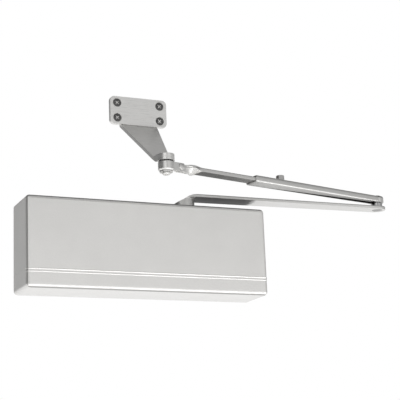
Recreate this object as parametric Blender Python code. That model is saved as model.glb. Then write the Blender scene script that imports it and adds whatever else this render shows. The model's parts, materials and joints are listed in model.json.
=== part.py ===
"""Surface-mounted overhead door closer with a full cover and a regular (double-lever) arm.

X runs along the closer, +Y points into the door, +Z is up. The origin is the middle of the
closer's mounting face. The model shows a closed door: the arms are folded and the shoe hangs
beside the cover.
"""
import math

import bmesh
import bpy
from mathutils import Matrix, Vector

MM = 0.001
GAP = 0.3 * MM  # clearance between neighbouring pieces
ROUND = 28  # facets around a turned piece
MIDDLE_ROUND = 20  # facets around a rivet or a bolt
SMALL_ROUND = 14  # facets around a small screw or hole
MERGE = 0.001 * MM  # points closer than this are one point

# Cover
COVER_LENGTH = 311 * MM
COVER_DEPTH = 57 * MM
COVER_HEIGHT = 111 * MM
COVER_WALL = 2.0 * MM
COVER_EDGE = 5.0 * MM
BEAD_LOW = -37.0 * MM
BEAD_HIGH = -32.4 * MM
BEAD_PROUD = 0.7 * MM
ARM_NOTCH_RADIUS = 13 * MM
COVER_SCREW_X = 112 * MM
COVER_SCREW_Y = -16 * MM
COVER_SCREW_LENGTH = 12 * MM

# Body casting and its bore
AXIS_Y = -28 * MM  # middle plane of the cylinder and the pinion
BODY_HALF = 138 * MM
BODY_RADIUS = 25 * MM
BORE_RADIUS = 19.2 * MM
CAP_SEAT_RADIUS = 21 * MM
CAP_SEAT_DEPTH = 16.4 * MM
BACK_PLATE = (276 * MM, 8 * MM, 80 * MM)  # length, thickness, height
MOUNT_SCREW_X = 128 * MM
MOUNT_SCREW_Z = 31 * MM
VALVE_XS = (84 * MM, 100 * MM, 116 * MM)
VALVE_Z = -30 * MM
VALVE_RADIUS = 3.0 * MM

# Pinion and rack
PINION_X = 56 * MM
TEETH = 12
PITCH_RADIUS = 10 * MM
ADDENDUM = 1.3 * MM
DEDENDUM = 1.7 * MM
PRESSURE_ANGLE = math.radians(25)
FLANK_EASE = 0.2 * MM  # taken off each flank for backlash
GEAR_HALF = 14 * MM
JOURNAL_START = 19.4 * MM  # clear of the piston
PINION_BORE = 13.2 * MM
BOSS_HALF = 36 * MM
SQUARE = 11 * MM  # across the flats of the spindle's end

# Piston and spring
PISTON_RADIUS = 18.9 * MM
PISTON_LEFT = 28 * MM
PISTON_RIGHT = 116 * MM
STROKE = 30 * MM  # longest travel of the piston, towards -X
SPRING_RADIUS = 14 * MM
SPRING_WIRE = 2.6 * MM
SPRING_TURNS = 11
SEAT_FACE = -106 * MM  # face of the spring seat

# Main arm
ARM_ANGLE = math.radians(-1.85)
ARM_LENGTH = 280 * MM
ARM_BOTTOM = 69.3 * MM
ARM_TOP = 73.1 * MM
HUB_BOTTOM = 57 * MM
HUB_RADIUS = 14.5 * MM
SPINDLE_TOP = 61.2 * MM
ARM_HALF_WIDTHS = (14.5 * MM, 11 * MM)  # beside the hub, at the elbow

# Forearm: sleeve and adjustable rod
SHOE_AXIS = Vector((-3.5 * MM, -120 * MM, 0))
SLEEVE_BOTTOM = 79 * MM
SLEEVE_TOP = 87 * MM
FOREARM_Z = (SLEEVE_BOTTOM + SLEEVE_TOP) / 2
SLEEVE_LENGTH = 219 * MM
SLEEVE_HALF_WIDTHS = (8.2 * MM, 10.25 * MM)  # at the elbow, at the mouth
SLEEVE_CAVITY = 131 * MM
ELBOW_EYE_RADIUS = 9.4 * MM
ELBOW_EYE_TOP = 87.7 * MM
ROD_WIDTH = 16 * MM
ROD_THICKNESS = 5.2 * MM
ROD_IN_SLEEVE = 90 * MM
CLAMP_AT = 171 * MM  # from the elbow
KNUCKLE_REACH = 17 * MM  # from the shoe's axis to the knuckle pin
EYE_RADIUS = 4.8 * MM
EYE_THICKNESS = 5.8 * MM
LUG_THICKNESS = 4.6 * MM
RIVET_HOLE = 4.3 * MM  # radius, at the elbow and in the shoe
KNUCKLE_HOLE = 3.3 * MM

# Shoe on the frame
BARREL_RADIUS = 9.7 * MM
BARREL_LOW = 77 * MM
BARREL_HIGH = 87.8 * MM
SHOE_LOW = 89.2 * MM
SHOE_HIGH = 97 * MM
SHOE_RADIUS = 10.3 * MM
PLATE_MIDDLE = Vector((8 * MM, 0, 187.5 * MM))
PLATE_WIDTH = 77 * MM
PLATE_HEIGHT = 37 * MM
PLATE_THICKNESS = 5.5 * MM
PLATE_SCREW_X = 29 * MM
PLATE_SCREW_Z = 10 * MM
FLANGE_TOP_Z = 170 * MM
FLANGE_THICKNESS = 4.3 * MM

# name: base colour, roughness, metallic
FINISHES = {
    "silver_paint": ((0.62, 0.61, 0.59, 1), 0.38, 0.6),
    "arm_steel": ((0.55, 0.54, 0.52, 1), 0.32, 0.85),
    "cast_iron": ((0.16, 0.16, 0.17, 1), 0.6, 0.6),
    "machined_steel": ((0.5, 0.5, 0.5, 1), 0.25, 1.0),
    "screw_steel": ((0.35, 0.35, 0.34, 1), 0.3, 1.0),
    "spring_steel": ((0.28, 0.29, 0.31, 1), 0.35, 1.0),
    "bronze": ((0.55, 0.36, 0.14, 1), 0.35, 1.0),
    "black_rubber": ((0.02, 0.02, 0.02, 1), 0.75, 0.0),
    "brass": ((0.66, 0.5, 0.2, 1), 0.3, 1.0),
}


# ---- Tools -----------------------------------------------------------------------------------

def clear_scene():
    for obj in list(bpy.context.scene.objects):
        bpy.data.objects.remove(obj)


def finish_material(name):
    material = bpy.data.materials.get(name)
    if material:
        return material
    colour, roughness, metallic = FINISHES[name]
    material = bpy.data.materials.new(name)
    material.use_nodes = True
    shader = material.node_tree.nodes["Principled BSDF"]
    shader.inputs["Base Color"].default_value = colour
    shader.inputs["Roughness"].default_value = roughness
    shader.inputs["Metallic"].default_value = metallic
    return material


def as_object(name, bm, transform=None):
    """Turn a bmesh into a scene object with outward faces."""
    bmesh.ops.remove_doubles(bm, verts=bm.verts, dist=MERGE)
    if transform:
        bm.transform(transform)
    bmesh.ops.recalc_face_normals(bm, faces=bm.faces)
    mesh = bpy.data.meshes.new(name)
    bm.to_mesh(mesh)
    bm.free()
    obj = bpy.data.objects.new(name, mesh)
    bpy.context.scene.collection.objects.link(obj)
    return obj


def along(axis):
    """Turn that brings a piece made along +Z to the X or the Y axis, or leaves it upright."""
    if axis == "X":
        return Matrix.Rotation(math.pi / 2, 4, "Y")
    if axis == "Y":
        return Matrix.Rotation(-math.pi / 2, 4, "X")
    return Matrix.Identity(4)


def facet_turn(axis):
    """Turn about its own axis that keeps an upright piece's edges off those of lying ones."""
    return Matrix.Rotation(math.radians(4.5 if axis == "Z" else 0), 4, "Z")


def box(name, low, high, radius=0.0, segments=1, upright_only=False):
    """Block between two corners, with all its edges rounded, or only the upright ones."""
    bm = bmesh.new()
    bmesh.ops.create_cube(bm, size=1)
    low, high = Vector(low), Vector(high)
    size = high - low
    bmesh.ops.scale(bm, vec=size, verts=bm.verts)
    bmesh.ops.translate(bm, vec=(low + high) / 2, verts=bm.verts)
    if radius:
        edges = list(bm.edges)
        if upright_only:
            edges = [e for e in edges if abs(e.verts[0].co.z - e.verts[1].co.z) > size.z / 2]
        bmesh.ops.bevel(bm, geom=edges, offset=radius, segments=segments, profile=0.5,
                        affect="EDGES")
    return as_object(name, bm)


def prism(name, outline, start, end, axis="Z"):
    """Flat outline extruded from start to end along an axis.

    The outline's two coordinates are (x, y) for Z, (x, z) for Y and (y, z) for X.
    """
    order = {"Z": lambda p, h: (p[0], p[1], h), "Y": lambda p, h: (p[0], h, p[1]),
             "X": lambda p, h: (h, p[0], p[1])}[axis]
    bm = bmesh.new()
    face = bm.faces.new([bm.verts.new(order(p, start)) for p in outline])
    new = bmesh.ops.extrude_face_region(bm, geom=[face])["geom"]
    shift = Vector(order((0, 0), end - start))
    bmesh.ops.translate(bm, vec=shift, verts=[v for v in new if isinstance(v, bmesh.types.BMVert)])
    return as_object(name, bm)


def turned(name, profile, at=(0, 0, 0), axis="Z", facets=ROUND, ring=False):
    """Profile of (radius, height) points spun about an axis; a ring's profile is closed."""
    bm = bmesh.new()
    verts = [bm.verts.new((radius, 0, height)) for radius, height in profile]
    edges = [bm.edges.new(pair) for pair in zip(verts, verts[1:])]
    if ring:
        edges.append(bm.edges.new((verts[-1], verts[0])))
    bmesh.ops.spin(bm, geom=verts + edges, cent=(0, 0, 0), axis=(0, 0, 1), angle=math.tau,
                   steps=facets, use_duplicate=False)
    return as_object(name, bm, Matrix.Translation(at) @ along(axis) @ facet_turn(axis))


def cylinder(name, radius, start, end, at=(0, 0, 0), axis="Z", facets=ROUND):
    return turned(name, [(0, start), (radius, start), (radius, end), (0, end)], at, axis, facets)


def ring(name, inner, outer, start, end, at=(0, 0, 0), axis="Z", facets=ROUND):
    profile = [(inner, start), (outer, start), (outer, end), (inner, end)]
    return turned(name, profile, at, axis, facets, ring=True)


def loft(name, sections):
    """Closed skin over a row of sections that have the same number of points."""
    bm = bmesh.new()
    rows = [[bm.verts.new(point) for point in section] for section in sections]
    for row, following in zip(rows, rows[1:]):
        for i in range(len(row)):
            j = (i + 1) % len(row)
            bm.faces.new((row[i], row[j], following[j], following[i]))
    bm.faces.new(rows[0])
    bm.faces.new(rows[-1])
    return as_object(name, bm)


def combine(target, *tools, how="DIFFERENCE"):
    """Cut the tools from the target, join them to it or keep what they share."""
    for tool in tools:
        step = target.modifiers.new(tool.name, "BOOLEAN")
        step.operation = how
        step.object = tool
        bpy.context.view_layer.objects.active = target
        bpy.ops.object.modifier_apply(modifier=step.name)
        bpy.data.objects.remove(tool)
        bm = bmesh.new()
        bm.from_mesh(target.data)
        bmesh.ops.remove_doubles(bm, verts=bm.verts, dist=MERGE)
        bmesh.ops.dissolve_degenerate(bm, edges=bm.edges, dist=MERGE)
        bm.to_mesh(target.data)
        bm.free()
    return target


def part(obj, finish, parent=None, sharp=30):
    """Give a finished piece its material, its shading and the pivot that it turns on."""
    obj.data.materials.clear()
    obj.data.materials.append(finish_material(finish))
    obj.data.shade_smooth()
    obj.data.set_sharp_from_angle(angle=math.radians(sharp))
    if parent:
        obj.parent = parent
    return obj


def pivot(name, at, turn=0.0):
    """Empty on a joint's axis; the pieces that move with the joint hang on it."""
    empty = bpy.data.objects.new(name, None)
    empty.location = at
    empty.rotation_euler.z = turn
    bpy.context.scene.collection.objects.link(empty)
    return empty


def arc(centre, radius, start, end, steps):
    """Points of an arc, with angles in degrees and both ends included."""
    points = []
    for i in range(steps + 1):
        angle = math.radians(start + (end - start) * i / steps)
        points.append((centre[0] + radius * math.cos(angle), centre[1] + radius * math.sin(angle)))
    return points


def slot_cutter(width, length, depth_from, depth_to, at, axis, turn=0.0):
    """Block for a screwdriver slot, lying across an axis."""
    cutter = box("slot", (-length / 2, -width / 2, depth_from), (length / 2, width / 2, depth_to))
    cutter.data.transform(Matrix.Translation(at) @ along(axis) @ Matrix.Rotation(turn, 4, "Z"))
    return cutter


# ---- Cover -----------------------------------------------------------------------------------

def make_cover():
    half_length = COVER_LENGTH / 2
    half_height = COVER_HEIGHT / 2
    behind = 12 * MM
    cover = box("cover", (-half_length, -COVER_DEPTH, -half_height),
                (half_length, behind, half_height), COVER_EDGE, 4)
    # the bead runs along the front and round its two corners
    bead_end = half_length + BEAD_PROUD / 2
    bead_front = -COVER_DEPTH - BEAD_PROUD
    corner = COVER_EDGE + BEAD_PROUD / 2
    bead = [(-bead_end, bead_front + corner + MM)]
    bead += arc((corner - bead_end, bead_front + corner), corner, 180, 270, 6)
    bead += arc((bead_end - corner, bead_front + corner), corner, 270, 360, 6)
    bead.append((bead_end, bead_front + corner + MM))
    combine(cover, prism("bead", bead, BEAD_LOW, BEAD_HIGH), how="UNION")
    wall = COVER_WALL
    hollow = box("hollow", (-half_length + wall, -COVER_DEPTH + wall, -half_height + wall),
                 (half_length - wall, 2 * behind, half_height - wall), COVER_EDGE - wall, 3)
    open_back = box("open_back", (-half_length - behind, 0, -half_height - behind),
                    (half_length + behind, 2 * behind, half_height + behind))
    outline = arc((PINION_X, AXIS_Y), ARM_NOTCH_RADIUS, 180, 360, 16)
    outline += [(PINION_X + ARM_NOTCH_RADIUS, behind), (PINION_X - ARM_NOTCH_RADIUS, behind)]
    notch = prism("notch", outline, half_height - 2 * wall, half_height + wall)
    combine(cover, open_back, hollow, notch)
    for side in (-1, 1):
        hole = cylinder("hole", 2.2 * MM, half_height - 2 * wall, half_height + wall,
                        (side * COVER_SCREW_X, COVER_SCREW_Y, 0), facets=SMALL_ROUND)
        combine(cover, hole)
    part(cover, "silver_paint")


def make_cover_screws():
    """Pan-head screws through the cover's top into the casting's two posts."""
    top = COVER_HEIGHT / 2 + GAP
    for side, name in ((-1, "left"), (1, "right")):
        at = (side * COVER_SCREW_X, COVER_SCREW_Y, 0)
        tip = top - COVER_SCREW_LENGTH
        profile = [(0, tip), (1.8 * MM, tip), (1.8 * MM, top), (4 * MM, top),
                   (4 * MM, top + 1.2 * MM), (3.1 * MM, top + 2.2 * MM), (0, top + 2.4 * MM)]
        screw = turned("cover_screw_" + name, profile, at, facets=SMALL_ROUND)
        for turn in (0, math.pi / 2):
            cross = slot_cutter(0.9 * MM, 4.4 * MM, top + 1.3 * MM, top + 4 * MM, at, "Z", turn)
            combine(screw, cross)
        part(screw, "screw_steel")


# ---- Body ------------------------------------------------------------------------------------

def make_body():
    """Casting: cylinder, mounting plate, pinion boss, valve block and two cover posts."""
    length, thickness, height = BACK_PLATE
    body = box("body", (-length / 2, -thickness, -height / 2), (length / 2, 0, height / 2))
    centre = (0, AXIS_Y, 0)
    barrel = cylinder("barrel", BODY_RADIUS, -BODY_HALF, BODY_HALF, centre, "X")
    boss = cylinder("boss", 21 * MM, -BOSS_HALF, BOSS_HALF, (PINION_X, AXIS_Y, 0))
    block = box("block", (74 * MM, -46 * MM, -35 * MM), (126 * MM, -14 * MM, -14 * MM))
    combine(body, barrel, boss, block, how="UNION")
    post_top = COVER_HEIGHT / 2 - COVER_WALL - GAP
    for side in (-1, 1):
        middle = side * COVER_SCREW_X
        post = box("post", (middle - 6 * MM, -22 * MM, 10 * MM),
                   (middle + 6 * MM, -4 * MM, post_top))
        combine(body, post, how="UNION")
    seat = BODY_HALF - CAP_SEAT_DEPTH
    past = BODY_HALF + 12 * MM
    bore_profile = [(0, -past), (CAP_SEAT_RADIUS, -past), (CAP_SEAT_RADIUS, -seat),
                    (BORE_RADIUS, -seat), (BORE_RADIUS, seat), (CAP_SEAT_RADIUS, seat),
                    (CAP_SEAT_RADIUS, past), (0, past)]
    bore = turned("bore", bore_profile, centre, "X")
    pinion_bore = cylinder("bore", PINION_BORE, -50 * MM, 50 * MM, (PINION_X, AXIS_Y, 0))
    combine(body, bore, pinion_bore)
    for x in VALVE_XS:
        hole = cylinder("hole", VALVE_RADIUS + GAP, -60 * MM, -24 * MM, (x, 0, VALVE_Z), "Y",
                        SMALL_ROUND)
        combine(body, hole)
    for side in (-1, 1):
        tapped = cylinder("hole", 2.1 * MM, 36 * MM, 60 * MM,
                          (side * COVER_SCREW_X, COVER_SCREW_Y, 0), facets=SMALL_ROUND)
        combine(body, tapped)
        for level in (-1, 1):
            hole = cylinder("hole", 3.5 * MM, -20 * MM, 20 * MM,
                            (side * MOUNT_SCREW_X, 0, level * MOUNT_SCREW_Z), "Y", SMALL_ROUND)
            combine(body, hole)
    part(body, "cast_iron")


def make_mounting_screws():
    """Pan-head screws that hold the casting to the door, cut off at the mounting face."""
    front = -BACK_PLATE[1] - GAP
    for side, side_name in ((-1, "left"), (1, "right")):
        for level, level_name in ((1, "upper"), (-1, "lower")):
            at = (side * MOUNT_SCREW_X, 0, level * MOUNT_SCREW_Z)
            profile = [(0, front - 4 * MM), (4.2 * MM, front - 4 * MM), (6 * MM, front - 2.2 * MM),
                       (6 * MM, front), (3.2 * MM, front), (3.2 * MM, -GAP), (0, -GAP)]
            name = "mounting_screw_{}_{}".format(level_name, side_name)
            screw = turned(name, profile, at, "Y", SMALL_ROUND)
            for turn in (0, math.pi / 2):
                cross = slot_cutter(1.2 * MM, 6 * MM, front - 9 * MM, front - 2.6 * MM, at, "Y",
                                    turn)
                combine(screw, cross)
            part(screw, "screw_steel")


def make_end_caps():
    """Threaded caps that close the cylinder, each on a rubber ring."""
    at = (0, AXIS_Y, 0)
    body_end = BODY_HALF + GAP
    ring_start = BODY_HALF - CAP_SEAT_DEPTH + GAP
    ring_end = ring_start + 1.8 * MM
    thread = CAP_SEAT_RADIUS - GAP
    inner = ring_end + GAP
    right = [(0, inner), (thread, inner), (thread, body_end), (23 * MM, body_end),
             (23 * MM, body_end + 4 * MM), (0, body_end + 4 * MM)]
    cap = turned("right_end_cap", right, at, "X")
    for y in (-10 * MM, 10 * MM):
        pin_hole = cylinder("hole", 2.2 * MM, body_end + 1.5 * MM, body_end + 9 * MM,
                            (0, AXIS_Y + y, 0), "X", SMALL_ROUND)
        combine(cap, pin_hole)
    part(cap, "machined_steel")
    hole = 4.6 * MM
    left = [(hole, -inner), (thread, -inner), (thread, -body_end), (23 * MM, -body_end),
            (23 * MM, -body_end - 4 * MM), (hole, -body_end - 4 * MM)]
    part(turned("left_end_cap", left, at, "X", ring=True), "machined_steel")
    for side, name in ((-1, "left_cap_seal"), (1, "right_cap_seal")):
        low, high = sorted((side * ring_start, side * ring_end))
        part(ring(name, 19.6 * MM, thread, low, high, at, "X"), "black_rubber")


def make_spring_adjuster():
    """Screw in the left cap and the seat that it drives along the spring's axis."""
    cap_inner = -(BODY_HALF - CAP_SEAT_DEPTH + 2.4 * MM)
    collar = cap_inner + GAP
    head = -(BODY_HALF + 4.6 * MM)
    shaft = 4.2 * MM
    screw_pivot = pivot("spring_screw_pivot", (0, AXIS_Y, 0))
    profile = [(0, head - 6 * MM), (5.8 * MM, head - 6 * MM), (5.8 * MM, head), (shaft, head),
               (shaft, collar), (7 * MM, collar), (7 * MM, collar + 2.5 * MM),
               (shaft, collar + 2.5 * MM), (shaft, -80 * MM), (0, -80 * MM)]
    screw = turned("spring_adjust_screw", profile, axis="X", facets=MIDDLE_ROUND)
    for sector in range(6):
        flat = box("flat", (head - 8 * MM, 5 * MM, -6 * MM), (head, 8 * MM, 6 * MM))
        flat.data.transform(Matrix.Rotation(math.tau * sector / 6, 4, "X"))
        combine(screw, flat)
    part(screw, "screw_steel", screw_pivot)
    seat_back = SEAT_FACE - 5 * MM
    hole = shaft + GAP
    seat_profile = [(hole, seat_back), (18.6 * MM, seat_back), (18.6 * MM, SEAT_FACE),
                    (10 * MM, SEAT_FACE), (9.4 * MM, SEAT_FACE + 10 * MM),
                    (hole, SEAT_FACE + 10 * MM)]
    seat = turned("spring_seat", seat_profile, (0, AXIS_Y, 0), "X", ring=True)
    part(seat, "machined_steel")


def make_spring():
    """Compression spring between the seat and the piston."""
    wire = SPRING_WIRE
    start = SEAT_FACE + wire + GAP
    end = PISTON_LEFT - wire - GAP
    per_turn = 12
    count = SPRING_TURNS * per_turn
    sides = 6
    sections = []
    for i in range(count + 1):
        share = i / count
        # the two end turns lie almost flat
        turns = share * SPRING_TURNS
        climb = min(max((turns - 1) / (SPRING_TURNS - 2), 0), 1)
        flat = 2 * (wire + GAP)
        x = start + flat * min(turns, 1) + (end - start - 2 * flat) * climb
        x += flat * max(turns - SPRING_TURNS + 1, 0)
        angle = math.tau * turns
        outward = Vector((0, math.cos(angle), math.sin(angle)))
        centre = Vector((x, AXIS_Y, 0)) + SPRING_RADIUS * outward
        section = []
        for k in range(sides):
            a = math.tau * k / sides
            section.append(centre + wire * (math.cos(a) * outward + Vector((math.sin(a), 0, 0))))
        sections.append(section)
    part(loft("power_spring", sections), "spring_steel", sharp=70)


def rack_outline():
    """Window of the piston, seen from above, with the rack's teeth on its +Y side."""
    pitch = math.tau * PITCH_RADIUS / TEETH
    left = PINION_X - 13 * MM
    right = PINION_X + STROKE + 13 * MM
    front = AXIS_Y - 12.5 * MM
    pitch_line = AXIS_Y + PITCH_RADIUS
    tip = pitch_line - ADDENDUM
    root = pitch_line + DEDENDUM
    slant = math.tan(PRESSURE_ANGLE)
    half = pitch / 4 - FLANK_EASE
    half_root = half + DEDENDUM * slant
    half_tip = half - ADDENDUM * slant
    outline = [(left, front), (right, front), (right, root)]
    centre = PINION_X + pitch * (int((right - PINION_X) / pitch) - 0.5)
    while centre - half_root > left:
        outline += [(centre + half_root, root), (centre + half_tip, tip),
                    (centre - half_tip, tip), (centre - half_root, root)]
        centre -= pitch
    outline.append((left, root))
    return outline


def make_piston():
    """Piston with the rack in its window, a seal groove and the check valve's passage."""
    groove = (107 * MM, 111 * MM)
    radius = PISTON_RADIUS
    depth = 16.2 * MM
    profile = [(0, PISTON_LEFT), (radius - 0.8 * MM, PISTON_LEFT), (radius, PISTON_LEFT + MM),
               (radius, groove[0]), (depth, groove[0]), (depth, groove[1]), (radius, groove[1]),
               (radius, PISTON_RIGHT - MM), (radius - 0.8 * MM, PISTON_RIGHT), (0, PISTON_RIGHT)]
    piston = turned("piston", profile, (0, AXIS_Y, 0), "X")
    window = prism("window", rack_outline(), -30 * MM, 30 * MM)
    passage_profile = [(0, 90 * MM), (1.6 * MM, 90 * MM), (1.6 * MM, 106 * MM),
                       (3.6 * MM, 106 * MM), (3.6 * MM, 120 * MM), (0, 120 * MM)]
    passage = turned("passage", passage_profile, (0, AXIS_Y, 0), "X", SMALL_ROUND)
    combine(piston, window, passage)
    part(piston, "machined_steel")
    at = (0, AXIS_Y, 0)
    seal = ring("piston_seal", depth + GAP, BORE_RADIUS - GAP, groove[0] + GAP, groove[1] - GAP,
                at, "X")
    part(seal, "black_rubber")
    ball_radius = 3 * MM
    ball = [(0, -ball_radius)]
    ball += [(ball_radius * math.cos(math.radians(a)), ball_radius * math.sin(math.radians(a)))
             for a in range(-60, 90, 30)]
    ball.append((0, ball_radius))
    ball_at = (109.6 * MM, AXIS_Y, 0)
    part(turned("check_ball", ball, ball_at, "X", SMALL_ROUND), "machined_steel")
    retainer = ring("check_retainer", 1.6 * MM, 3.3 * MM, 113.2 * MM, 115.6 * MM, at, "X",
                    SMALL_ROUND)
    part(retainer, "brass")


def gear_outline():
    """Involute outline of the pinion, with one tooth pointing to +Y."""
    base = PITCH_RADIUS * math.cos(PRESSURE_ANGLE)
    root = PITCH_RADIUS - DEDENDUM
    tip = PITCH_RADIUS + ADDENDUM

    def roll(radius):
        """Angle that the involute has swept at this radius."""
        if radius <= base:
            return 0.0
        spread = math.sqrt((radius / base) ** 2 - 1)
        return spread - math.atan(spread)

    half_at_pitch = math.pi / (2 * TEETH) - FLANK_EASE / PITCH_RADIUS
    radii = [root] + [base + (tip - base) * i / 4 for i in range(5)]
    outline = []
    for tooth in range(TEETH):
        middle = math.pi / 2 + math.tau * tooth / TEETH
        for side, row in ((-1, radii), (1, radii[::-1])):
            for radius in row:
                half = half_at_pitch + roll(PITCH_RADIUS) - roll(radius)
                angle = middle + side * half
                outline.append((radius * math.cos(angle), radius * math.sin(angle)))
    return outline


def make_pinion():
    """Vertical shaft with the gear in its middle and a square end for the arm."""
    at = Vector((PINION_X, AXIS_Y, 0))
    shaft_pivot = pivot("pinion_pivot", at)
    journal = (JOURNAL_START, 30.3 * MM)
    profile = [(0, -46 * MM), (6.4 * MM, -46 * MM), (7 * MM, -45 * MM), (7 * MM, -journal[1]),
               (8.6 * MM, -journal[1]), (8.6 * MM, -journal[0]), (7 * MM, -journal[0]),
               (7 * MM, journal[0]), (8.6 * MM, journal[0]), (8.6 * MM, journal[1]),
               (7.5 * MM, journal[1]), (7.5 * MM, HUB_BOTTOM - 1.2 * MM),
               (0, HUB_BOTTOM - 1.2 * MM)]
    shaft = turned("pinion_shaft", profile)
    gear = prism("gear", gear_outline(), -GEAR_HALF, GEAR_HALF)
    half = SQUARE / 2
    square = box("square", (-half, -half, HUB_BOTTOM - 5 * MM), (half, half, SPINDLE_TOP),
                 1.2 * MM, 2, upright_only=True)
    square.data.transform(Matrix.Rotation(ARM_ANGLE, 4, "Z"))
    combine(shaft, gear, square, how="UNION")
    thread = cylinder("thread", 3.1 * MM, SPINDLE_TOP - 18 * MM, SPINDLE_TOP + 5 * MM,
                      facets=SMALL_ROUND)
    combine(shaft, thread)
    part(shaft, "machined_steel", shaft_pivot)


def make_pinion_supports():
    """Bushes, lip seals and the two threaded glands that hold the pinion in the casting."""
    at = (PINION_X, AXIS_Y, 0)
    outer = PINION_BORE - GAP
    for side, name in ((1, "upper"), (-1, "lower")):
        def span(start, end):
            return sorted((side * start, side * end))
        bush = span(JOURNAL_START + GAP, 29.7 * MM)
        part(ring(name + "_bearing", 8.9 * MM, outer, *bush, at), "bronze")
        seal = span(30.6 * MM, 33.6 * MM)
        part(ring(name + "_seal", 7.8 * MM, outer, *seal, at), "black_rubber")
        skirt, face, end = (side * h for h in (33.9 * MM, BOSS_HALF + GAP, 42 * MM))
        profile = [(7.9 * MM, skirt), (outer, skirt), (outer, face), (16.5 * MM, face),
                   (16.5 * MM, end), (7.9 * MM, end)]
        gland = turned(name + "_gland", profile, at, ring=True)
        part(gland, "machined_steel")


def make_valves():
    """Slotted needle valves for closing, latching and back-check, in the casting's block."""
    front = -48 * MM
    for x, name in zip(VALVE_XS, ("closing_valve", "latching_valve", "backcheck_valve")):
        valve_pivot = pivot(name + "_pivot", (x, front, VALVE_Z))
        profile = [(0, 0), (VALVE_RADIUS, 0), (VALVE_RADIUS, 20 * MM), (1.6 * MM, 21 * MM),
                   (0.6 * MM, 23 * MM), (0, 23 * MM)]
        valve = turned(name, profile, axis="Y", facets=SMALL_ROUND)
        combine(valve, slot_cutter(1 * MM, 9 * MM, -2 * MM, 1.4 * MM, (0, 0, 0), "Y"))
        part(valve, "brass", valve_pivot)


# ---- Main arm --------------------------------------------------------------------------------

def make_main_arm():
    """Forged lever: a low hub on the spindle that rises into a flat bar."""
    near_half, far_half = ARM_HALF_WIDTHS
    past = ARM_LENGTH + 20 * MM
    side = [(-HUB_RADIUS - 4 * MM, HUB_BOTTOM), (past, HUB_BOTTOM), (past, ARM_TOP),
            (14 * MM, ARM_TOP), (8 * MM, 72.4 * MM), (3 * MM, 70.6 * MM), (-4 * MM, 66.2 * MM),
            (-10 * MM, 63.4 * MM), (-HUB_RADIUS, 60.8 * MM), (-HUB_RADIUS - 4 * MM, 59 * MM)]
    arm = prism("main_arm", side, -20 * MM, 20 * MM, "Y")
    plan = arc((0, 0), HUB_RADIUS, 90, 270, 20)
    plan += [(40 * MM, -near_half)]
    plan += arc((ARM_LENGTH, 0), far_half, -88, 88, 16)
    plan += [(40 * MM, near_half)]
    combine(arm, prism("plan", plan, 50 * MM, 80 * MM), how="INTERSECT")
    # the bar's underside lies above the round hub, with a fillet between them
    hub_side = HUB_RADIUS - 0.4 * MM
    fillet = 2.2 * MM
    flare = arc((hub_side + fillet, ARM_BOTTOM - fillet), fillet, 180, 100, 4)
    hub_profile = [(0, 40 * MM), (hub_side, 40 * MM)] + flare
    hub_profile += [(hub_side + fillet, ARM_BOTTOM + 5 * MM), (0, ARM_BOTTOM + 5 * MM)]
    under = box("under", (-30 * MM, -30 * MM, 50 * MM), (past + 10 * MM, 30 * MM, ARM_BOTTOM))
    combine(under, turned("hub", hub_profile))
    combine(arm, under)
    half = SQUARE / 2 + GAP
    square = box("square", (-half, -half, 50 * MM), (half, half, 90 * MM), 1.2 * MM, 2,
                 upright_only=True)
    recess = cylinder("recess", 8.6 * MM, SPINDLE_TOP + 0.2 * MM, 90 * MM)
    rivet_hole = cylinder("hole", RIVET_HOLE, 60 * MM, 90 * MM, (ARM_LENGTH, 0, 0))
    sink = turned("sink", [(0, 60 * MM), (7.2 * MM, 60 * MM), (7.2 * MM, ARM_BOTTOM),
                           (RIVET_HOLE, ARM_BOTTOM + 2.4 * MM), (0, ARM_BOTTOM + 2.4 * MM)],
                  (ARM_LENGTH, 0, 0))
    combine(arm, square, recess, rivet_hole, sink)
    arm_pivot = pivot("arm_pivot", (PINION_X, AXIS_Y, 0), ARM_ANGLE)
    part(arm, "arm_steel", arm_pivot)

    washer_low = SPINDLE_TOP + 0.5 * MM
    washer_high = washer_low + MM
    washer = ring("arm_washer", 3.3 * MM, 8.2 * MM, washer_low, washer_high)
    part(washer, "screw_steel", arm_pivot)
    head = washer_high + GAP
    profile = [(0, 54 * MM), (2.8 * MM, 54 * MM), (2.8 * MM, head), (6.4 * MM, head),
               (6.4 * MM, head + 1.2 * MM), (5.4 * MM, head + 1.9 * MM), (0, head + 1.9 * MM)]
    screw = turned("arm_screw", profile, facets=MIDDLE_ROUND)
    hexagon = prism("hexagon", arc((0, 0), 3 * MM, 0, 300, 5), head + 0.7 * MM, head + 9 * MM)
    combine(screw, hexagon)
    part(screw, "screw_steel", arm_pivot)
    stud_profile = [(0, ARM_BOTTOM), (6.8 * MM, ARM_BOTTOM), (4 * MM, ARM_BOTTOM + 2.3 * MM),
                    (4 * MM, ELBOW_EYE_TOP + GAP), (6.2 * MM, ELBOW_EYE_TOP + GAP),
                    (5.4 * MM, ELBOW_EYE_TOP + 1.2 * MM), (0, ELBOW_EYE_TOP + 1.6 * MM)]
    stud = turned("elbow_stud", stud_profile, (ARM_LENGTH, 0, 0), facets=MIDDLE_ROUND)
    part(stud, "screw_steel", arm_pivot)
    spacer = ring("elbow_spacer", RIVET_HOLE, 7.4 * MM, ARM_TOP + GAP, SLEEVE_BOTTOM - GAP,
                  (ARM_LENGTH, 0, 0), facets=MIDDLE_ROUND)
    part(spacer, "machined_steel", arm_pivot)
    return arm_pivot


# ---- Forearm ---------------------------------------------------------------------------------

def elbow_point():
    return Vector((PINION_X + ARM_LENGTH * math.cos(ARM_ANGLE),
                   AXIS_Y + ARM_LENGTH * math.sin(ARM_ANGLE), 0))


def forearm_frame():
    """Elbow, the direction from it to the shoe, and the forearm's length."""
    reach = SHOE_AXIS - elbow_point()
    return elbow_point(), math.atan2(reach.y, reach.x), reach.length


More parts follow.
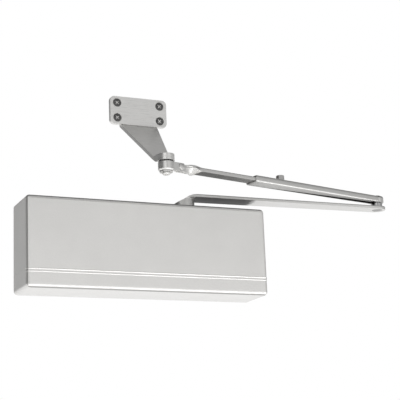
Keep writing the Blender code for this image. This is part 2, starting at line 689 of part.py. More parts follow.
def make_sleeve():
    """Flattened sleeve with a round eye on the elbow and a square-cut open mouth."""
    elbow, turn, _ = forearm_frame()
    elbow_pivot = pivot("elbow_pivot", elbow, turn)
    near_half, far_half = SLEEVE_HALF_WIDTHS
    eye_end = 14 * MM
    plan = arc((0, 0), near_half, 90, 270, 16)
    plan += [(eye_end, -near_half), (SLEEVE_LENGTH, -far_half), (SLEEVE_LENGTH, far_half),
             (eye_end, near_half)]
    sleeve = prism("forearm_sleeve", plan, SLEEVE_BOTTOM, SLEEVE_TOP)
    eye = cylinder("eye", ELBOW_EYE_RADIUS, SLEEVE_BOTTOM + 0.4 * MM, ELBOW_EYE_TOP)
    combine(sleeve, eye, how="UNION")
    half = ROD_WIDTH / 2 + GAP
    rise = ROD_THICKNESS / 2 + GAP
    cavity = box("cavity", (SLEEVE_LENGTH - SLEEVE_CAVITY, -half, FOREARM_Z - rise),
                 (SLEEVE_LENGTH + 20 * MM, half, FOREARM_Z + rise))
    eye_hole = cylinder("hole", RIVET_HOLE, 60 * MM, 100 * MM)
    clamp_hole = cylinder("hole", 2.9 * MM, FOREARM_Z, 100 * MM, (CLAMP_AT, 0, 0),
                          facets=SMALL_ROUND)
    combine(sleeve, cavity, eye_hole, clamp_hole)
    part(sleeve, "arm_steel", elbow_pivot)
    return elbow_pivot


def make_clamp_screw(elbow_pivot):
    """Hexagon-head screw that clamps the rod in the sleeve."""
    clamp_pivot = pivot("clamp_pivot", (CLAMP_AT, 0, 0))
    clamp_pivot.parent = elbow_pivot
    tip = FOREARM_Z + ROD_THICKNESS / 2 + GAP
    head = SLEEVE_TOP + GAP
    profile = [(0, tip), (2.6 * MM, tip), (2.6 * MM, head), (6.2 * MM, head),
               (6.2 * MM, head + MM), (5.3 * MM, head + MM), (5.3 * MM, head + 6.8 * MM),
               (4.6 * MM, head + 7.6 * MM), (0, head + 7.6 * MM)]
    screw = turned("clamp_screw", profile, facets=MIDDLE_ROUND)
    for sector in range(6):
        flat = box("flat", (4.6 * MM, -6 * MM, head + MM), (9 * MM, 6 * MM, head + 9 * MM))
        flat.data.transform(Matrix.Rotation(math.tau * sector / 6, 4, "Z"))
        combine(screw, flat)
    part(screw, "screw_steel", clamp_pivot)


def bar_section(x, width, thickness, roll):
    """Rounded section of a flat bar that lies along X, rolled about X."""
    corner = 0.7 * MM
    half_w, half_t = width / 2, thickness / 2
    outline = []
    for side_w, side_t, start in ((1, 1, 0), (-1, 1, 90), (-1, -1, 180), (1, -1, 270)):
        centre = (side_w * (half_w - corner), side_t * (half_t - corner))
        outline += arc(centre, corner, start, start + 90, 2)
    cos_r, sin_r = math.cos(roll), math.sin(roll)
    return [(x, w * cos_r - t * sin_r, FOREARM_Z + w * sin_r + t * cos_r) for w, t in outline]


def make_rod():
    """Flat rod, twisted a quarter turn into an upright eye at the knuckle."""
    elbow, turn, length = forearm_frame()
    rod_pivot = pivot("rod_pivot", elbow, turn)
    tail = SLEEVE_LENGTH - ROD_IN_SLEEVE
    knuckle = length - KNUCKLE_REACH
    twist_start = knuckle - 32 * MM
    twist_end = knuckle - 7 * MM
    sections = [bar_section(tail, ROD_WIDTH, ROD_THICKNESS, 0)]
    steps = 10
    for i in range(steps + 1):
        share = i / steps
        ease = share * share * (3 - 2 * share)
        width = ROD_WIDTH + (2 * EYE_RADIUS - ROD_WIDTH) * ease
        x = twist_start + (twist_end - twist_start) * share
        sections.append(bar_section(x, width, ROD_THICKNESS, ease * math.pi / 2))
    sections.append(bar_section(knuckle - 2 * MM, 2 * EYE_RADIUS, ROD_THICKNESS, math.pi / 2))
    rod = loft("forearm_rod", sections)
    eye = cylinder("eye", EYE_RADIUS, -EYE_THICKNESS / 2, EYE_THICKNESS / 2,
                   (knuckle, 0, FOREARM_Z), "Y", MIDDLE_ROUND)
    combine(rod, eye, how="UNION")
    pin_hole = cylinder("hole", KNUCKLE_HOLE, -10 * MM, 10 * MM, (knuckle, 0, FOREARM_Z), "Y",
                        SMALL_ROUND)
    combine(rod, pin_hole)
    part(rod, "arm_steel", rod_pivot)

    back = -(EYE_THICKNESS / 2 + GAP)
    front = EYE_THICKNESS / 2 + GAP + LUG_THICKNESS + GAP
    pin_profile = [(0, back - 1.4 * MM), (3.4 * MM, back - 1.2 * MM), (4 * MM, back),
                   (3 * MM, back), (3 * MM, front), (3.9 * MM, front),
                   (3.7 * MM, front + 0.7 * MM), (2.9 * MM, front + 1.1 * MM),
                   (0, front + 1.2 * MM)]
    pin = turned("knuckle_pin", pin_profile, (knuckle, 0, FOREARM_Z), "Y", MIDDLE_ROUND)
    part(pin, "arm_steel", rod_pivot)


def make_swivel():
    """Barrel below the shoe with a side lug for the knuckle pin, and the rivet through both."""
    elbow, turn, length = forearm_frame()
    knuckle_pivot = pivot("knuckle_pivot", elbow, turn)
    at = (length, 0, 0)
    chamfer = 1.5 * MM
    profile = [(0, BARREL_LOW), (BARREL_RADIUS - chamfer, BARREL_LOW),
               (BARREL_RADIUS, BARREL_LOW + chamfer), (BARREL_RADIUS, BARREL_HIGH - 0.5 * MM),
               (BARREL_RADIUS - 0.5 * MM, BARREL_HIGH), (0, BARREL_HIGH)]
    barrel = turned("swivel_barrel", profile, at)
    knuckle = length - KNUCKLE_REACH
    lug_end = knuckle - 4.6 * MM
    high, low = FOREARM_Z + 4.4 * MM, FOREARM_Z - 5.3 * MM
    lug = [(length, low - 0.3 * MM), (length, high), (lug_end + 1.8 * MM, high),
           (lug_end + 0.5 * MM, high - 0.5 * MM), (lug_end, high - 1.8 * MM),
           (lug_end, low + 1.8 * MM), (lug_end + 0.5 * MM, low + 0.5 * MM),
           (lug_end + 1.8 * MM, low)]
    front = EYE_THICKNESS / 2 + GAP
    combine(barrel, prism("lug", lug, front, front + LUG_THICKNESS, "Y"), how="UNION")
    pin_hole = cylinder("hole", KNUCKLE_HOLE, -15 * MM, 15 * MM, (knuckle, 0, FOREARM_Z), "Y",
                        SMALL_ROUND)
    rivet_hole = cylinder("hole", RIVET_HOLE, 60 * MM, 100 * MM, at)
    combine(barrel, pin_hole, rivet_hole)
    part(barrel, "arm_steel", knuckle_pivot)

    part(ring("swivel_washer", RIVET_HOLE, 8.6 * MM, BARREL_HIGH + GAP, SHOE_LOW - GAP, at),
         "machined_steel", knuckle_pivot)
    washer = ring("rivet_washer", RIVET_HOLE, 8 * MM, 75.3 * MM, BARREL_LOW - GAP, at,
                  facets=MIDDLE_ROUND)
    part(washer, "arm_steel", knuckle_pivot)
    low = 72.4 * MM
    head = 75 * MM
    top = SHOE_HIGH + GAP
    rivet = [(0, low), (3.6 * MM, low), (4.9 * MM, low + 1.2 * MM), (4.9 * MM, head),
             (4 * MM, head), (4 * MM, top), (6.4 * MM, top), (5.6 * MM, top + 1.3 * MM),
             (0, top + 1.8 * MM)]
    part(turned("swivel_rivet", rivet, at, facets=MIDDLE_ROUND), "arm_steel", knuckle_pivot)


# ---- Shoe ------------------------------------------------------------------------------------

def make_shoe():
    """Screw plate on the frame, with a flange that falls forward to the swivel's boss."""
    axis = SHOE_AXIS
    flange_start = axis.y + 10 * MM
    slope = (FLANGE_TOP_Z - SHOE_HIGH) / (-3 * MM - flange_start)
    drop = FLANGE_THICKNESS * math.sqrt(1 + slope * slope)

    def flange_z(y):
        return FLANGE_TOP_Z + slope * (y + 3 * MM)

    boss_front = axis.y - SHOE_RADIUS - 2 * MM
    boss_back = flange_start - (drop - (SHOE_HIGH - SHOE_LOW)) / -slope
    side = [(-0.5 * MM, flange_z(-0.5 * MM)), (-0.5 * MM, flange_z(-0.5 * MM) - drop),
            (boss_back, SHOE_LOW), (boss_front, SHOE_LOW), (boss_front, SHOE_HIGH),
            (flange_start, SHOE_HIGH)]
    flange = prism("shoe_bracket", side, -60 * MM, 80 * MM, "X")
    plan = arc((axis.x, axis.y), SHOE_RADIUS, 186, 396, 24)
    plan += [(34.4 * MM, 0), (-16.8 * MM, 0), (-15.4 * MM, -108 * MM),
             (-14.8 * MM, -113 * MM)]
    combine(flange, prism("plan", plan, 80 * MM, 200 * MM), how="INTERSECT")
    half_w, half_h = PLATE_WIDTH / 2, PLATE_HEIGHT / 2
    corner = 6 * MM
    outline = []
    for sx, sz, start in ((1, 1, 0), (-1, 1, 90), (-1, -1, 180), (1, -1, 270)):
        centre = (PLATE_MIDDLE.x + sx * (half_w - corner), PLATE_MIDDLE.z + sz * (half_h - corner))
        outline += arc(centre, corner, start, start + 90, 6)
    plate = prism("plate", outline, -PLATE_THICKNESS, 0, "Y")
    combine(flange, plate, how="UNION")
    rivet_hole = turned("hole", [(0, 70 * MM), (RIVET_HOLE, 70 * MM), (RIVET_HOLE, SHOE_HIGH),
                                 (7.2 * MM, SHOE_HIGH), (7.2 * MM, 120 * MM), (0, 120 * MM)], axis)
    combine(flange, rivet_hole)
    for sx in (-1, 1):
        for sz in (-1, 1):
            at = (PLATE_MIDDLE.x + sx * PLATE_SCREW_X, 0, PLATE_MIDDLE.z + sz * PLATE_SCREW_Z)
            profile = [(0, -20 * MM), (5.7 * MM, -20 * MM), (5.7 * MM, -PLATE_THICKNESS + 0.6 * MM),
                       (3.1 * MM, -1.9 * MM), (3.1 * MM, 10 * MM), (0, 10 * MM)]
            combine(flange, turned("sink", profile, at, "Y", MIDDLE_ROUND))
    flange.data.transform(Matrix.Translation(-axis))
    part(flange, "arm_steel", pivot("shoe_pivot", axis))


def make_shoe_screws():
    """Countersunk cross-head screws, cut off at the frame's face."""
    shoe_pivot = bpy.data.objects["shoe_pivot"]
    front = -PLATE_THICKNESS + 0.3 * MM
    cone_end = -1.9 * MM
    for sx, side_name in ((-1, "left"), (1, "right")):
        for sz, level_name in ((1, "upper"), (-1, "lower")):
            at = PLATE_MIDDLE - SHOE_AXIS
            at = Vector((at.x + sx * PLATE_SCREW_X, at.y, at.z + sz * PLATE_SCREW_Z))
            profile = [(0, front - 0.5 * MM), (3.4 * MM, front - 0.4 * MM), (5.2 * MM, front),
                       (5.2 * MM, front + 0.6 * MM), (2.8 * MM, cone_end), (2.8 * MM, -GAP),
                       (0, -GAP)]
            name = "shoe_screw_{}_{}".format(level_name, side_name)
            screw = turned(name, profile, at, "Y", MIDDLE_ROUND)
            for turn in (math.pi / 4, -math.pi / 4):
                cross = slot_cutter(1.3 * MM, 5.6 * MM, front - 3 * MM, front + 1.2 * MM, at, "Y",
                                    turn)
                combine(screw, cross)
            part(screw, "screw_steel", shoe_pivot)


def main():
    clear_scene()
    make_cover()
    make_cover_screws()
    make_body()
    make_mounting_screws()
    make_end_caps()
    make_spring_adjuster()
    make_spring()
    make_piston()
    make_pinion()
    make_pinion_supports()
    make_valves()
    make_main_arm()
    elbow_pivot = make_sleeve()
    make_clamp_screw(elbow_pivot)
    make_rod()
    make_swivel()
    make_shoe()
    make_shoe_screws()


main()
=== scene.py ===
"""Looks of a surface-mounted door closer with a regular arm, built around its packed frame."""
import json
import math

import bmesh
import bpy
from mathutils import Matrix, Vector

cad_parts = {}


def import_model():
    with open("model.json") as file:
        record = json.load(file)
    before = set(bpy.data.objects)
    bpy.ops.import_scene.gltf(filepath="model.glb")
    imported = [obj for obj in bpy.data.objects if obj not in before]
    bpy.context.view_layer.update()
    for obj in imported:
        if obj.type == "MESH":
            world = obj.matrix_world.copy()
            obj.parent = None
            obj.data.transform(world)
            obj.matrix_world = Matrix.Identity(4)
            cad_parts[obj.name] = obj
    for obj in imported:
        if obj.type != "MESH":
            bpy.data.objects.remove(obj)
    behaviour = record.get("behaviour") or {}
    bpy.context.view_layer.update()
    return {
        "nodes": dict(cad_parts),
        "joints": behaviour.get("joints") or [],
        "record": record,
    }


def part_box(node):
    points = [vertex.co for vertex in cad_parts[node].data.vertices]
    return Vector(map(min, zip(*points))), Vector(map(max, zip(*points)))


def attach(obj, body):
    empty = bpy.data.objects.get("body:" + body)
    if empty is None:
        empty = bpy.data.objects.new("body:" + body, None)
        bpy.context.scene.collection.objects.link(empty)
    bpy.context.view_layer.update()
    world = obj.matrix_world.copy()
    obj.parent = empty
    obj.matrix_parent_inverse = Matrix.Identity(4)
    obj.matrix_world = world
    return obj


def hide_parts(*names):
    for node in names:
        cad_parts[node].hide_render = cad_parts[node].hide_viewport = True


bl_info = {
    "name": "Door Closer With Regular Arm",
    "version": (1, 0, 0),
    "blender": (4, 5, 0),
    "location": "3D View > Sidebar > Door Closer",
    "description": "Builds the cover, arms, shoe and mechanism of a surface-mounted door closer",
    "category": "Add Mesh",
}

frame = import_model()
NODES = frame["nodes"]

MM = 0.001
COVER_LOW, COVER_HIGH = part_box("cover")
SLEEVE_LOW, SLEEVE_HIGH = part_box("forearm_sleeve")
JOINTS = {joint["name"]: joint for joint in frame["joints"]}
PINION = Vector(JOINTS["arm_swing"]["pos_m"])
ELBOW = Vector(JOINTS["elbow_turn"]["pos_m"])
KNUCKLE = Vector(JOINTS["knuckle_tilt"]["pos_m"])
FOREARM_DIRECTION = Vector(JOINTS["rod_extend"]["axis"]).normalized()
SCREW_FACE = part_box("shoe_screw_upper_left")[0].y


# ---- Sizes and colours a user would change ----------------------------------------------------

def length(name, description, value):
    return bpy.props.FloatProperty(name=name, description=description, default=value, min=0.0,
                                   subtype="DISTANCE", unit="LENGTH", precision=4)


def factor(name, description, value):
    return bpy.props.FloatProperty(name=name, description=description, default=value, min=0.0,
                                   max=1.0, subtype="FACTOR")


def colour(name, description, value):
    return bpy.props.FloatVectorProperty(name=name, description=description, default=value, size=3,
                                         min=0.0, max=1.0, subtype="COLOR")


class CoverSizes(bpy.types.PropertyGroup):
    """Sizes of the cover"""
    wall: length("Wall", "Thickness of the cover's wall", 2.0 * MM)
    corner: length("Corner", "Radius of the cover's rounded edges", 5.0 * MM)
    bead_low: bpy.props.FloatProperty(
        name="Bead Bottom", description="Height of the bead's lower edge", default=-37.0 * MM,
        subtype="DISTANCE", unit="LENGTH", precision=4)
    bead_high: bpy.props.FloatProperty(
        name="Bead Top", description="Height of the bead's upper edge", default=-32.4 * MM,
        subtype="DISTANCE", unit="LENGTH", precision=4)
    bead_proud: length("Bead Proud", "How far the bead stands out of the wall", 0.7 * MM)
    notch: length("Notch", "Radius of the notch for the arm's spindle", 13.0 * MM)


class ArmSizes(bpy.types.PropertyGroup):
    """Rounding of the arms' edges"""
    sleeve_edge: length("Sleeve Edge", "Radius of the sleeve's long edges", 2.3 * MM)
    forged_edge: length("Forged Edge", "Radius of the main arm's edges", 0.9 * MM)


class FinishColours(bpy.types.PropertyGroup):
    """Colours and gloss of the finishes"""
    paint: colour("Silver Paint", "Colour of the cover's paint", (0.735, 0.727, 0.71))
    paint_gloss: factor("Paint Roughness", "Roughness of the cover's paint", 0.4)
    arm: colour("Arm Silver", "Colour of the arms and the shoe", (0.72, 0.715, 0.70))
    arm_gloss: factor("Arm Roughness", "Roughness of the arms and the shoe", 0.34)
    screw: colour("Plated Screws", "Colour of the plated screws", (0.33, 0.325, 0.32))


SIZE_GROUPS = {"door_closer_cover": CoverSizes, "door_closer_arm": ArmSizes,
               "door_closer_finish": FinishColours}


# ---- Shader groups ----------------------------------------------------------------------------

def new_group(name, inputs, outputs):
    """Shader node group with named float inputs; outputs are (name, socket type)."""
    group = bpy.data.node_groups.new(name, "ShaderNodeTree")
    for socket, value in inputs.items():
        item = group.interface.new_socket(socket, in_out="INPUT", socket_type="NodeSocketFloat")
        item.default_value = value
    for socket, kind in outputs.items():
        group.interface.new_socket(socket, in_out="OUTPUT", socket_type="NodeSocket" + kind)
    nodes = group.nodes
    return group, nodes.new("NodeGroupInput"), nodes.new("NodeGroupOutput")


def object_noise(tree, scale, detail=2.0, roughness=0.5, stretch=(1, 1, 1)):
    """Noise on the piece's own coordinates, drawn out along the axes given."""
    nodes, links = tree.nodes, tree.links
    place = nodes.new("ShaderNodeTexCoord")
    mapping = nodes.new("ShaderNodeMapping")
    mapping.inputs["Scale"].default_value = stretch
    noise = nodes.new("ShaderNodeTexNoise")
    noise.inputs["Detail"].default_value = detail
    noise.inputs["Roughness"].default_value = roughness
    if isinstance(scale, (int, float)):
        noise.inputs["Scale"].default_value = scale
    else:
        links.new(scale, noise.inputs["Scale"])
    links.new(place.outputs["Object"], mapping.inputs["Vector"])
    links.new(mapping.outputs["Vector"], noise.inputs["Vector"])
    return noise.outputs["Fac"]


def spread(tree, value, low, high, to_low=0.0, to_high=1.0):
    """Map Range node from a stretch of values to another."""
    node = tree.nodes.new("ShaderNodeMapRange")
    node.inputs["From Min"].default_value = low
    node.inputs["From Max"].default_value = high
    node.inputs["To Min"].default_value = to_low
    node.inputs["To Max"].default_value = to_high
    tree.links.new(value, node.inputs["Value"])
    return node.outputs["Result"]


def calculate(tree, operation, first, second):
    node = tree.nodes.new("ShaderNodeMath")
    node.operation = operation
    for socket, value in zip(node.inputs, (first, second)):
        if isinstance(value, (int, float)):
            socket.default_value = value
        else:
            tree.links.new(value, socket)
    return node.outputs["Value"]


def flake_group():
    """Metal flakes and orange peel of sprayed metallic paint."""
    group, inputs, outputs = new_group(
        "Sprayed Flake", {"Flake Scale": 2600.0, "Peel Scale": 420.0, "Amount": 1.0},
        {"Sparkle": "Float", "Cloud": "Float", "Height": "Float"})
    flake = object_noise(group, inputs.outputs["Flake Scale"], 1.0, 0.6)
    peel = object_noise(group, inputs.outputs["Peel Scale"], 2.0, 0.45)
    cloud = object_noise(group, 24.0, 3.0, 0.55)
    sparkle = calculate(group, "MULTIPLY", spread(group, flake, 0.35, 0.7),
                        inputs.outputs["Amount"])
    height = calculate(group, "ADD", calculate(group, "MULTIPLY", flake, 0.25), peel)
    group.links.new(sparkle, outputs.inputs["Sparkle"])
    group.links.new(spread(group, cloud, 0.3, 0.7), outputs.inputs["Cloud"])
    group.links.new(height, outputs.inputs["Height"])
    return group


def wear_group():
    """Rubbed streaks and finger marks that change the gloss."""
    group, inputs, outputs = new_group("Handling Marks", {"Scale": 60.0, "Strength": 0.5},
                                       {"Mask": "Float", "Smudge": "Float"})
    streak = object_noise(group, inputs.outputs["Scale"], 4.0, 0.6, (0.35, 1.0, 1.6))
    smudge = object_noise(group, 18.0, 3.0, 0.6)
    mask = calculate(group, "MULTIPLY", spread(group, streak, 0.48, 0.72),
                     inputs.outputs["Strength"])
    group.links.new(mask, outputs.inputs["Mask"])
    group.links.new(spread(group, smudge, 0.35, 0.65), outputs.inputs["Smudge"])
    return group


def grain_group():
    """Fine tool marks, or the sandy skin of a casting, as a height."""
    group, inputs, outputs = new_group(
        "Tooling Grain", {"Grain Scale": 900.0, "Pit Scale": 180.0, "Pits": 0.4},
        {"Height": "Float", "Tone": "Float"})
    fine = object_noise(group, inputs.outputs["Grain Scale"], 2.0, 0.6)
    pits = object_noise(group, inputs.outputs["Pit Scale"], 3.0, 0.55)
    deep = calculate(group, "MULTIPLY", spread(group, pits, 0.3, 0.6), inputs.outputs["Pits"])
    group.links.new(calculate(group, "ADD", fine, deep), outputs.inputs["Height"])
    group.links.new(spread(group, pits, 0.3, 0.7), outputs.inputs["Tone"])
    return group


def reach_group():
    """Mask of what lies past a plane across the piece, faded in, with a ragged edge if wanted."""
    group, inputs, outputs = new_group(
        "Ragged Reach", {"Along X": 1.0, "Along Y": 0.0, "Along Z": 0.0, "Start": 0.0,
                         "Fade": 0.001, "Rag": 0.0}, {"Mask": "Float"})
    where = group.nodes.new("ShaderNodeTexCoord")
    separate = group.nodes.new("ShaderNodeSeparateXYZ")
    group.links.new(where.outputs["Object"], separate.inputs["Vector"])
    total = calculate(group, "MULTIPLY", object_noise(group, 130.0, 4.0, 0.65, (0.5, 1.0, 1.0)),
                      inputs.outputs["Rag"])
    for axis in "XYZ":
        part = calculate(group, "MULTIPLY", separate.outputs[axis], inputs.outputs["Along " + axis])
        total = calculate(group, "ADD", total, part)
    past = calculate(group, "SUBTRACT", total, inputs.outputs["Start"])
    mask = calculate(group, "DIVIDE", past, inputs.outputs["Fade"])
    group.links.new(spread(group, mask, 0.0, 1.0), outputs.inputs["Mask"])
    return group


GROUPS = {}

# sockets of a colour mix
MIX_FACTOR, MIX_FIRST, MIX_SECOND, MIX_RESULT = 0, 6, 7, 2


def place_group(tree, name, values):
    node = tree.nodes.new("ShaderNodeGroup")
    node.node_tree = GROUPS[name]
    for socket, value in values.items():
        node.inputs[socket].default_value = value
    return node


# ---- Finishes ---------------------------------------------------------------------------------

LEFT, RIGHT = Vector((-1, 0, 0)), Vector((1, 0, 0))
UP, DOWN = Vector((0, 0, 1)), Vector((0, 0, -1))
FORWARD = Vector((0, -1, 0))

ARM_METALLIC = 0.85
BAND_FADE = 0.15 * MM
UNDER_BAR_SHADE_START, UNDER_BAR_SHADE_END = 10 * MM, 87 * MM  # the stretch of painted shade under the main arm, from the pinion
TWIST_END = 27 * MM  # end of the rod's twist, from the knuckle pin
HEAD_SHADE_DEPTH = 0.75 * MM  # how deep the darkened front of the shoe screws' heads reaches


class Finish:
    """A material under construction: its node tree, its shader and short ways to feed it."""

    def __init__(self, name, metallic, coat=0.0):
        self.material = bpy.data.materials.new(name)
        self.material.use_nodes = True
        self.tree = self.material.node_tree
        self.shader = self.tree.nodes["Principled BSDF"]
        self.shader.inputs["Metallic"].default_value = metallic
        self.shader.inputs["Coat Weight"].default_value = coat
        self.shader.inputs["Coat Roughness"].default_value = 0.25

    def group(self, name, **values):
        return place_group(self.tree, name, {k.replace("_", " "): v for k, v in values.items()})

    def colour_mix(self, mask, second, blend="MIX"):
        """Colour mix that gives the second colour where the mask is 1."""
        mix = self.tree.nodes.new("ShaderNodeMix")
        mix.data_type = "RGBA"
        mix.blend_type = blend
        mix.inputs[MIX_SECOND].default_value = (*second, 1)
        self.tree.links.new(mask, mix.inputs[MIX_FACTOR])
        return mix

    def base(self, mask, dark, light):
        """Base colour between two tones, by a mask."""
        mix = self.colour_mix(mask, light)
        mix.inputs[MIX_FIRST].default_value = (*dark, 1)
        self.tree.links.new(mix.outputs[MIX_RESULT], self.shader.inputs["Base Color"])

    def tint(self, mask, amount):
        """Multiply the base colour by an amount where the mask is 1."""
        socket = self.shader.inputs["Base Color"]
        mix = self.colour_mix(mask, (amount, amount, amount), "MULTIPLY")
        self.tree.links.new(socket.links[0].from_socket, mix.inputs[MIX_FIRST])
        self.tree.links.new(mix.outputs[MIX_RESULT], socket)

    def reach(self, along, start, fade, rag=0.0):
        """Mask of what lies more than start out from the origin, in a direction."""
        return self.group("Ragged Reach", Along_X=along[0], Along_Y=along[1], Along_Z=along[2],
                          Start=start, Fade=fade, Rag=rag).outputs["Mask"]

    def roughness(self, mask, low, high):
        self.tree.links.new(spread(self.tree, mask, 0, 1, low, high),
                            self.shader.inputs["Roughness"])

    def bump(self, height, distance, strength=1.0):
        node = self.tree.nodes.new("ShaderNodeBump")
        node.inputs["Distance"].default_value = distance
        node.inputs["Strength"].default_value = strength
        self.tree.links.new(height, node.inputs["Height"])
        self.tree.links.new(node.outputs["Normal"], self.shader.inputs["Normal"])


def scaled(rgb, amount):
    return tuple(min(1.0, channel * amount) for channel in rgb)


def painted(name, rgb, gloss, metallic, flake, peel, coat):
    finish = Finish(name, metallic, coat)
    flakes = finish.group("Sprayed Flake", Flake_Scale=flake, Peel_Scale=peel)
    marks = finish.group("Handling Marks", Scale=45.0, Strength=0.6)
    tone = calculate(finish.tree, "ADD",
                     calculate(finish.tree, "MULTIPLY", flakes.outputs["Sparkle"], 0.7),
                     calculate(finish.tree, "MULTIPLY", flakes.outputs["Cloud"], 0.3))
    finish.base(tone, scaled(rgb, 0.93), scaled(rgb, 1.06))
    worn = calculate(finish.tree, "ADD",
                     calculate(finish.tree, "MULTIPLY", marks.outputs["Smudge"], 0.5),
                     marks.outputs["Mask"])
    finish.roughness(worn, gloss - 0.04, gloss + 0.06)
    finish.bump(flakes.outputs["Height"], 0.03 * MM, 0.5)
    return finish


def machined(name, rgb, gloss, grain=1600.0, pits=0.3, pit_scale=320.0, depth=0.02 * MM,
             metallic=1.0):
    finish = Finish(name, metallic)
    tooling = finish.group("Tooling Grain", Grain_Scale=grain, Pit_Scale=pit_scale, Pits=pits)
    marks = finish.group("Handling Marks", Scale=120.0, Strength=0.8)
    finish.base(tooling.outputs["Tone"], scaled(rgb, 0.86), scaled(rgb, 1.1))
    finish.roughness(marks.outputs["Smudge"], gloss - 0.05, gloss + 0.1)
    finish.bump(tooling.outputs["Height"], depth, 0.6)
    return finish


def all_of(finish, first, *others):
    """Where all of the masks are 1."""
    for other in others:
        first = calculate(finish.tree, "MULTIPLY", first, other)
    return first


def cover_finish(colours):
    """The cover's paint, with painted dark reflections as darker lines along the front's bottom and
    top edges and down its corners.
    """
    finish = painted("Silver Paint", tuple(colours.paint), colours.paint_gloss, metallic=0.55,
                     flake=2600.0, peel=420.0, coat=0.45)

    def before(depth, fade):
        """What stands less than a depth behind the bead's front."""
        return finish.reach(FORWARD, -COVER_LOW.y - depth, fade)

    # painted dark reflection along the front's bottom rounding
    lower = finish.reach(DOWN, -COVER_LOW.z - 1.7 * MM, 0.5 * MM)
    finish.tint(all_of(finish, lower, before(4.2 * MM, 0.4 * MM)), 0.45)
    # painted dark reflection along the front's top rounding
    upper = finish.reach(UP, COVER_HIGH.z - 2.4 * MM, 0.4 * MM)
    finish.tint(all_of(finish, upper, before(5.0 * MM, 0.4 * MM)), 0.22)
    # painted dark reflections down the front's two corners
    in_front = before(3.4 * MM, 0.5 * MM)
    for side in (LEFT, RIGHT):
        corner = finish.reach(side, COVER_HIGH.x - 2.6 * MM, 0.5 * MM)
        finish.tint(all_of(finish, corner, in_front), 0.5)
    return finish


def arm_finish(name, colours, amount=1.0):
    return painted(name, scaled(colours.arm, amount), colours.arm_gloss, ARM_METALLIC,
                   flake=3200.0, peel=700.0, coat=0.0)


def paint_shade_band(finish, low, high, amount):
    """Paint shade as a darker level band round a piece, between two heights."""
    above = finish.reach(UP, low, BAND_FADE)
    below = finish.reach(DOWN, -high, BAND_FADE)
    finish.tint(all_of(finish, above, below), amount)


def sleeve_finish(colours):
    """Arm finish with painted shade: darker towards the sleeve's top edges and on its underside."""
    finish = arm_finish("Drawn Sleeve", colours, 0.98)
    # painted shade towards the top edge, which leaves the lower face looking lit
    paint_shade_band(finish, KNUCKLE.z + 1.4 * MM, KNUCKLE.z + 3.0 * MM, 0.8)
    paint_shade_band(finish, KNUCKLE.z + 2.8 * MM, KNUCKLE.z + 3.85 * MM, 0.4)
    # painted shade on the sleeve's underside
    finish.tint(finish.reach(DOWN, -SLEEVE_LOW.z - 0.5 * MM, 0.3 * MM), 0.68)
    return finish


def main_arm_finish(colours):
    """Arm finish with painted shade under the bar, from the hub outwards, and a painted dark
    reflection along the bar's top edge.
    """
    finish = arm_finish("Forged Arm", colours)
    bar_low, bar_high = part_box("elbow_stud")[0].z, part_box("main_arm")[1].z
    under = finish.reach(DOWN, -(bar_low + 0.35 * MM), 0.15 * MM)
    near = finish.reach(LEFT, -(PINION.x + UNDER_BAR_SHADE_END), 8 * MM, 20 * MM)
    beyond_hub = finish.reach(RIGHT, PINION.x + UNDER_BAR_SHADE_START, 2 * MM)
    painted_shade_under_bar = all_of(finish, under, near, beyond_hub)
    # painted shade under the bar, made matt and non-metallic so that no reflection lightens it
    finish.tint(painted_shade_under_bar, 0.1)
    finish.tree.links.new(spread(finish.tree, painted_shade_under_bar, 0, 1, ARM_METALLIC, 0.0),
                          finish.shader.inputs["Metallic"])
    finish.shader.inputs["Specular IOR Level"].default_value = 0.05
    # painted dark reflection along the bar's top edge
    paint_shade_band(finish, bar_high - 1.0 * MM, bar_high - 0.1 * MM, 0.35)
    return finish


def rod_finish(colours):
    """Arm finish with painted shade under the flat rod, deepest near the knuckle and lighter
    towards the sleeve, and a painted dark reflection along its upper edge.
    """
    finish = arm_finish("Drawn Rod", colours)
    along = -FOREARM_DIRECTION if FOREARM_DIRECTION.x < 0 else FOREARM_DIRECTION
    start = KNUCKLE.dot(along)
    under = finish.reach(DOWN, -(KNUCKLE.z - 1.9 * MM), 0.5 * MM)
    past_twist = finish.reach(along, start + TWIST_END, 5 * MM)
    near = finish.reach(-along, -(start + 130 * MM), 90 * MM, 8 * MM)
    # painted shade under the rod past its twist, deeper near the knuckle
    finish.tint(all_of(finish, under, past_twist), 0.42)
    finish.tint(all_of(finish, under, past_twist, near), 0.42)
    # painted dark reflection along the rod's upper edge
    paint_shade_band(finish, KNUCKLE.z + 1.7 * MM, KNUCKLE.z + 2.5 * MM, 0.3)
    return finish


def shoe_finish(colours):
    """Arm finish with fine streaks along the plate."""
    finish = arm_finish("Brushed Shoe", colours, 1.14)
    streaks = object_noise(finish.tree, 900.0, 3.0, 0.6, (0.07, 0.5, 1.0))
    finish.tint(spread(finish.tree, streaks, 0.5, 0.72), 0.84)
    return finish


def shoe_screw_finish(rgb):
    """Dark screw head with a cross recess painted light: the head's front is darkened down to a
    depth, and the recess below it keeps a near-white colour as a painted highlight.
    """
    # the near-white base colour is the painted highlight that the cross recess shows
    finish = machined("Dark Screw", scaled(rgb, 2.8), 0.4, metallic=0.2)
    finish.tint(finish.reach(FORWARD, -SCREW_FACE - HEAD_SHADE_DEPTH, 0.1 * MM), 0.1)
    return finish


